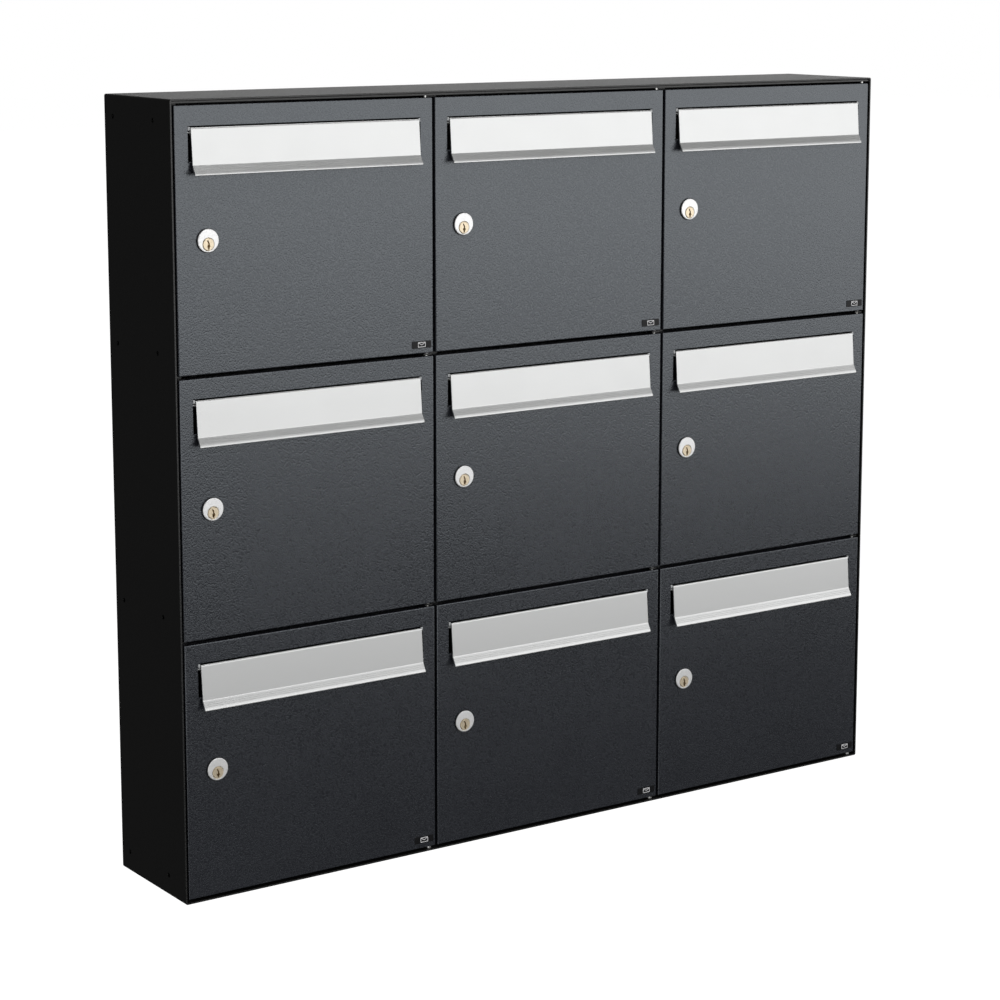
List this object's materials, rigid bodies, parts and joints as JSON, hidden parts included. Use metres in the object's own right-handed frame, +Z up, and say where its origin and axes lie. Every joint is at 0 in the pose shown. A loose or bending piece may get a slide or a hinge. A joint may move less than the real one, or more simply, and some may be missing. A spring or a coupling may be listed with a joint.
{
  "type": "letterbox bank",
  "caption": "Wall mounted bank of letterboxes: a sheet steel casing with hinged, lockable doors, each with a letter flap over its slot.",
  "frame": {"origin": "centre of the back panel's rear face, which lies on the wall", "axes": "+Z up, +Y from the doors towards the wall, +X to the right as seen by someone who faces the doors"},
  "size_m": [1.1158, 0.1864, 0.9992],
  "materials": {
    "casing_black": "matt black powder coat",
    "door_anthracite": "anthracite grey powder coat with a fine grain",
    "flap_satin": "satin silver",
    "lock_bright": "bright nickel",
    "plug_brass": "bright brass",
    "zinc_plated": "zinc plate"
  },
  "bodies": {
    "cabinet": {"casing_shell": "casing_black", "back_panel": "casing_black", "left_strike_strip": "casing_black", "partition_left_middle": "casing_black", "partition_middle_right": "casing_black", "shelf_middle_left": "casing_black", "shelf_middle_middle": "casing_black", "shelf_middle_right": "casing_black", "shelf_top_left": "casing_black", "shelf_top_middle": "casing_black", "shelf_top_right": "casing_black", "hinge_rod_left": "zinc_plated", "hinge_rod_middle": "zinc_plated", "hinge_rod_right": "zinc_plated"},
    "door_bottom_left": {"door_bottom_left": "door_anthracite", "lock_body_bottom_left": "lock_bright"},
    "flap_bottom_left": {"flap_bottom_left": "flap_satin"},
    "lock_bottom_left": {"lock_plug_bottom_left": "plug_brass", "lock_cam_bottom_left": "zinc_plated"},
    "door_bottom_middle": {"door_bottom_middle": "door_anthracite", "lock_body_bottom_middle": "lock_bright"},
    "flap_bottom_middle": {"flap_bottom_middle": "flap_satin"},
    "lock_bottom_middle": {"lock_plug_bottom_middle": "plug_brass", "lock_cam_bottom_middle": "zinc_plated"},
    "door_bottom_right": {"door_bottom_right": "door_anthracite", "lock_body_bottom_right": "lock_bright"},
    "flap_bottom_right": {"flap_bottom_right": "flap_satin"},
    "lock_bottom_right": {"lock_plug_bottom_right": "plug_brass", "lock_cam_bottom_right": "zinc_plated"},
    "door_middle_left": {"door_middle_left": "door_anthracite", "lock_body_middle_left": "lock_bright"},
    "flap_middle_left": {"flap_middle_left": "flap_satin"},
    "lock_middle_left": {"lock_plug_middle_left": "plug_brass", "lock_cam_middle_left": "zinc_plated"},
    "door_middle_middle": {"door_middle_middle": "door_anthracite", "lock_body_middle_middle": "lock_bright"},
    "flap_middle_middle": {"flap_middle_middle": "flap_satin"},
    "lock_middle_middle": {"lock_plug_middle_middle": "plug_brass", "lock_cam_middle_middle": "zinc_plated"},
    "door_middle_right": {"door_middle_right": "door_anthracite", "lock_body_middle_right": "lock_bright"},
    "flap_middle_right": {"flap_middle_right": "flap_satin"},
    "lock_middle_right": {"lock_plug_middle_right": "plug_brass", "lock_cam_middle_right": "zinc_plated"},
    "door_top_left": {"door_top_left": "door_anthracite", "lock_body_top_left": "lock_bright"},
    "flap_top_left": {"flap_top_left": "flap_satin"},
    "lock_top_left": {"lock_plug_top_left": "plug_brass", "lock_cam_top_left": "zinc_plated"},
    "door_top_middle": {"door_top_middle": "door_anthracite", "lock_body_top_middle": "lock_bright"},
    "flap_top_middle": {"flap_top_middle": "flap_satin"},
    "lock_top_middle": {"lock_plug_top_middle": "plug_brass", "lock_cam_top_middle": "zinc_plated"},
    "door_top_right": {"door_top_right": "door_anthracite", "lock_body_top_right": "lock_bright"},
    "flap_top_right": {"flap_top_right": "flap_satin"},
    "lock_top_right": {"lock_plug_top_right": "plug_brass", "lock_cam_top_right": "zinc_plated"}
  },
  "joints": [
    {"name": "door_swing_bottom_left", "type": "hinge", "parent": "cabinet", "child": "door_bottom_left", "pos_m": [-0.1945, -0.169, -0.331], "axis": [0, 0, 1], "range_deg": [0, 105]},
    {"name": "flap_swing_bottom_left", "type": "hinge", "parent": "door_bottom_left", "child": "flap_bottom_left", "pos_m": [-0.37, -0.172, -0.20075], "axis": [-1, 0, 0], "range_deg": [0, 70]},
    {"name": "lock_turn_bottom_left", "type": "hinge", "parent": "door_bottom_left", "child": "lock_bottom_left", "pos_m": [-0.511, -0.175, -0.3354], "axis": [0, 1, 0], "range_deg": [0, 90]},
    {"name": "door_swing_bottom_middle", "type": "hinge", "parent": "cabinet", "child": "door_bottom_middle", "pos_m": [0.1755, -0.169, -0.331], "axis": [0, 0, 1], "range_deg": [0, 105]},
    {"name": "flap_swing_bottom_middle", "type": "hinge", "parent": "door_bottom_middle", "child": "flap_bottom_middle", "pos_m": [0, -0.172, -0.20075], "axis": [-1, 0, 0], "range_deg": [0, 70]},
    {"name": "lock_turn_bottom_middle", "type": "hinge", "parent": "door_bottom_middle", "child": "lock_bottom_middle", "pos_m": [-0.141, -0.175, -0.3354], "axis": [0, 1, 0], "range_deg": [0, 90]},
    {"name": "door_swing_bottom_right", "type": "hinge", "parent": "cabinet", "child": "door_bottom_right", "pos_m": [0.5455, -0.169, -0.331], "axis": [0, 0, 1], "range_deg": [0, 105]},
    {"name": "flap_swing_bottom_right", "type": "hinge", "parent": "door_bottom_right", "child": "flap_bottom_right", "pos_m": [0.37, -0.172, -0.20075], "axis": [-1, 0, 0], "range_deg": [0, 70]},
    {"name": "lock_turn_bottom_right", "type": "hinge", "parent": "door_bottom_right", "child": "lock_bottom_right", "pos_m": [0.229, -0.175, -0.3354], "axis": [0, 1, 0], "range_deg": [0, 90]},
    {"name": "door_swing_middle_left", "type": "hinge", "parent": "cabinet", "child": "door_middle_left", "pos_m": [-0.1945, -0.169, -0.001], "axis": [0, 0, 1], "range_deg": [0, 105]},
    {"name": "flap_swing_middle_left", "type": "hinge", "parent": "door_middle_left", "child": "flap_middle_left", "pos_m": [-0.37, -0.172, 0.12925], "axis": [-1, 0, 0], "range_deg": [0, 70]},
    {"name": "lock_turn_middle_left", "type": "hinge", "parent": "door_middle_left", "child": "lock_middle_left", "pos_m": [-0.511, -0.175, -0.0054], "axis": [0, 1, 0], "range_deg": [0, 90]},
    {"name": "door_swing_middle_middle", "type": "hinge", "parent": "cabinet", "child": "door_middle_middle", "pos_m": [0.1755, -0.169, -0.001], "axis": [0, 0, 1], "range_deg": [0, 105]},
    {"name": "flap_swing_middle_middle", "type": "hinge", "parent": "door_middle_middle", "child": "flap_middle_middle", "pos_m": [0, -0.172, 0.12925], "axis": [-1, 0, 0], "range_deg": [0, 70]},
    {"name": "lock_turn_middle_middle", "type": "hinge", "parent": "door_middle_middle", "child": "lock_middle_middle", "pos_m": [-0.141, -0.175, -0.0054], "axis": [0, 1, 0], "range_deg": [0, 90]},
    {"name": "door_swing_middle_right", "type": "hinge", "parent": "cabinet", "child": "door_middle_right", "pos_m": [0.5455, -0.169, -0.001], "axis": [0, 0, 1], "range_deg": [0, 105]},
    {"name": "flap_swing_middle_right", "type": "hinge", "parent": "door_middle_right", "child": "flap_middle_right", "pos_m": [0.37, -0.172, 0.12925], "axis": [-1, 0, 0], "range_deg": [0, 70]},
    {"name": "lock_turn_middle_right", "type": "hinge", "parent": "door_middle_right", "child": "lock_middle_right", "pos_m": [0.229, -0.175, -0.0054], "axis": [0, 1, 0], "range_deg": [0, 90]},
    {"name": "door_swing_top_left", "type": "hinge", "parent": "cabinet", "child": "door_top_left", "pos_m": [-0.1945, -0.169, 0.329], "axis": [0, 0, 1], "range_deg": [0, 105]},
    {"name": "flap_swing_top_left", "type": "hinge", "parent": "door_top_left", "child": "flap_top_left", "pos_m": [-0.37, -0.172, 0.45925], "axis": [-1, 0, 0], "range_deg": [0, 70]},
    {"name": "lock_turn_top_left", "type": "hinge", "parent": "door_top_left", "child": "lock_top_left", "pos_m": [-0.511, -0.175, 0.3246], "axis": [0, 1, 0], "range_deg": [0, 90]},
    {"name": "door_swing_top_middle", "type": "hinge", "parent": "cabinet", "child": "door_top_middle", "pos_m": [0.1755, -0.169, 0.329], "axis": [0, 0, 1], "range_deg": [0, 105]},
    {"name": "flap_swing_top_middle", "type": "hinge", "parent": "door_top_middle", "child": "flap_top_middle", "pos_m": [0, -0.172, 0.45925], "axis": [-1, 0, 0], "range_deg": [0, 70]},
    {"name": "lock_turn_top_middle", "type": "hinge", "parent": "door_top_middle", "child": "lock_top_middle", "pos_m": [-0.141, -0.175, 0.3246], "axis": [0, 1, 0], "range_deg": [0, 90]},
    {"name": "door_swing_top_right", "type": "hinge", "parent": "cabinet", "child": "door_top_right", "pos_m": [0.5455, -0.169, 0.329], "axis": [0, 0, 1], "range_deg": [0, 105]},
    {"name": "flap_swing_top_right", "type": "hinge", "parent": "door_top_right", "child": "flap_top_right", "pos_m": [0.37, -0.172, 0.45925], "axis": [-1, 0, 0], "range_deg": [0, 70]},
    {"name": "lock_turn_top_right", "type": "hinge", "parent": "door_top_right", "child": "lock_top_right", "pos_m": [0.229, -0.175, 0.3246], "axis": [0, 1, 0], "range_deg": [0, 90]}
  ]
}
